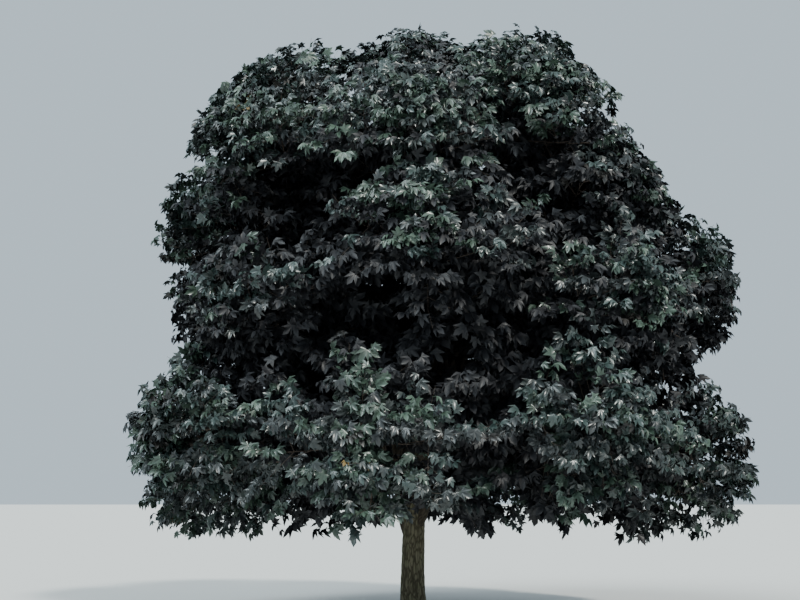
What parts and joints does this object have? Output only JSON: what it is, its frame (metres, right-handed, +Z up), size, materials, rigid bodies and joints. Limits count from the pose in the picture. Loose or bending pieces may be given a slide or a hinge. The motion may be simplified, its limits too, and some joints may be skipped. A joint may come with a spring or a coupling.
{
  "type": "tree",
  "caption": "Purple-leaved maple with a short low-forking trunk and a dense, broad, rounded crown of lobed leaves, standing on the flat cut under its trunk.",
  "frame": {"origin": "middle of the trunk's flat cut at ground level", "axes": "+Z up along the trunk, the pictured side faces -Y, the crown's longer side is +X"},
  "size_m": [8.115, 7.8602, 8.3949],
  "materials": {
    "bark": "matt, furrowed",
    "foliage": "dark purple, waxy sheen"
  },
  "bodies": {
    "root": {"trunk": "bark", "low_bough_1": "bark", "low_bough_2": "bark", "low_bough_3": "bark", "low_bough_4": "bark", "low_bough_5": "bark", "low_bough_6": "bark", "low_bough_7": "bark", "low_bough_8": "bark", "middle_side_bough_1": "bark", "middle_side_bough_2": "bark", "middle_side_bough_3": "bark", "middle_side_bough_4": "bark", "middle_side_bough_5": "bark", "middle_side_bough_6": "bark", "middle_side_bough_7": "bark", "middle_side_bough_8": "bark", "upper_bough_1": "bark", "upper_bough_2": "bark", "upper_bough_3": "bark", "upper_bough_4": "bark", "upper_bough_5": "bark", "upper_bough_6": "bark", "upper_bough_7": "bark", "top_bough_1": "bark", "top_bough_2": "bark", "top_bough_3": "bark", "top_bough_4": "bark", "crest_bough_1": "bark", "low_foliage_1": "foliage", "low_foliage_2": "foliage", "low_foliage_3": "foliage", "low_foliage_4": "foliage", "low_foliage_5": "foliage", "low_foliage_6": "foliage", "low_foliage_7": "foliage", "low_foliage_8": "foliage", "middle_foliage_1": "foliage", "middle_foliage_2": "foliage", "middle_foliage_3": "foliage", "middle_foliage_4": "foliage", "middle_foliage_5": "foliage", "middle_foliage_6": "foliage", "middle_foliage_7": "foliage", "middle_foliage_8": "foliage", "upper_foliage_1": "foliage", "upper_foliage_2": "foliage", "upper_foliage_3": "foliage", "upper_foliage_4": "foliage", "upper_foliage_5": "foliage", "upper_foliage_6": "foliage", "upper_foliage_7": "foliage", "top_foliage_1": "foliage", "top_foliage_2": "foliage", "top_foliage_3": "foliage", "top_foliage_4": "foliage", "crest_foliage_1": "foliage", "tuft_foliage": "foliage"}
  },
  "joints": []
}
